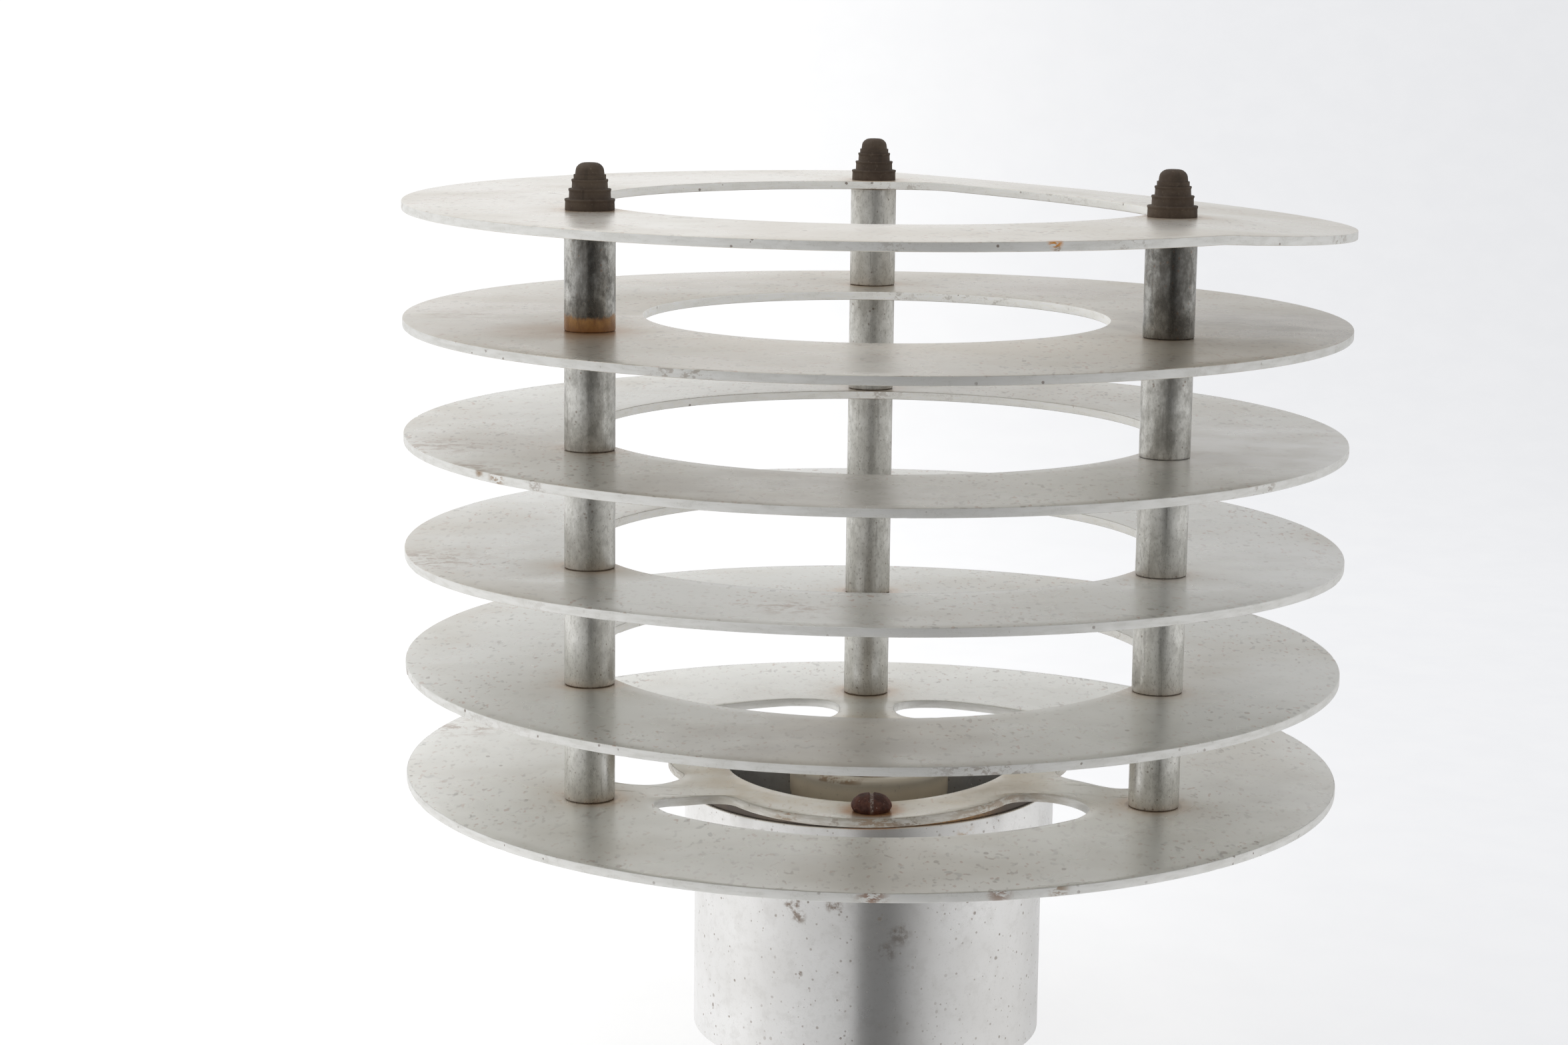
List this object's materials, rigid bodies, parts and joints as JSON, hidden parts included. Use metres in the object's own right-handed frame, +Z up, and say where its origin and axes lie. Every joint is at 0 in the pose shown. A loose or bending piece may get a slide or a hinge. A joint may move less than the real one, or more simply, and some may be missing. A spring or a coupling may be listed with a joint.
{
  "type": "louvred lamp head",
  "caption": "Outdoor lamp head: flat metal rings stacked on slim posts over a slotted base plate, with a tube below and a porcelain screw lampholder inside.",
  "frame": {"origin": "centre of the tube's open lower end", "axes": "+Z up along the tube's axis, +X to the right and +Y to the rear post when seen from the front"},
  "size_m": [0.267, 0.267, 0.2532],
  "materials": {
    "plate": "weathered satin with fine dark specks",
    "post": "mottled brushed grey with rust at the foot",
    "housing": "smooth satin with small dark specks",
    "cap": "matt dark olive brown",
    "rusty": "dark rusted",
    "zinc": "dull zinc plated",
    "porcelain": "glazed beige grey porcelain",
    "brass": "dull aged brass",
    "rubber": "matt dark"
  },
  "bodies": {
    "lamp_head": {"base_plate": "plate", "louvre_ring_1": "plate", "louvre_ring_2": "plate", "louvre_ring_3": "plate", "louvre_ring_4": "plate", "louvre_ring_5": "plate", "spacer_rear_1": "post", "spacer_rear_2": "post", "spacer_rear_3": "post", "spacer_rear_4": "post", "spacer_rear_5": "post", "tie_rod_rear": "zinc", "top_nut_rear": "zinc", "lower_nut_rear": "zinc", "stepped_cap_rear": "cap", "spacer_left_1": "post", "spacer_left_2": "post", "spacer_left_3": "post", "spacer_left_4": "post", "spacer_left_5": "post", "tie_rod_left": "zinc", "top_nut_left": "zinc", "lower_nut_left": "zinc", "stepped_cap_left": "cap", "spacer_right_1": "post", "spacer_right_2": "post", "spacer_right_3": "post", "spacer_right_4": "post", "spacer_right_5": "post", "tie_rod_right": "zinc", "top_nut_right": "zinc", "lower_nut_right": "zinc", "stepped_cap_right": "cap", "plate_screw_right": "rusty", "plate_screw_left": "rusty", "plate_screw_front": "rusty", "housing_collar": "housing", "collar_gasket": "rubber", "housing_tube": "housing", "set_screw_rear": "zinc", "set_screw_left": "zinc", "set_screw_right": "zinc", "mounting_disc": "housing", "cable_grommet": "rubber", "lampholder_bracket": "zinc", "earth_screw": "brass", "bracket_screw_1": "zinc", "holder_screw_1": "zinc", "bracket_screw_2": "zinc", "holder_screw_2": "zinc", "lampholder_body": "porcelain", "threaded_shell": "brass", "shell_contact_tab": "brass", "contact_spring": "zinc", "terminal_block_1": "brass", "terminal_screw_1": "brass", "terminal_block_2": "brass", "terminal_screw_2": "brass"},
    "contact_plunger": {"centre_contact": "brass"}
  },
  "joints": [
    {"name": "centre_contact_press", "type": "slide", "parent": "lamp_head", "child": "contact_plunger", "axis": [0, 0, -1], "range_m": [0, 0.002], "stiffness_N_per_m": 2000, "springref_m": -0.002, "deforming": ["contact_spring"]}
  ]
}
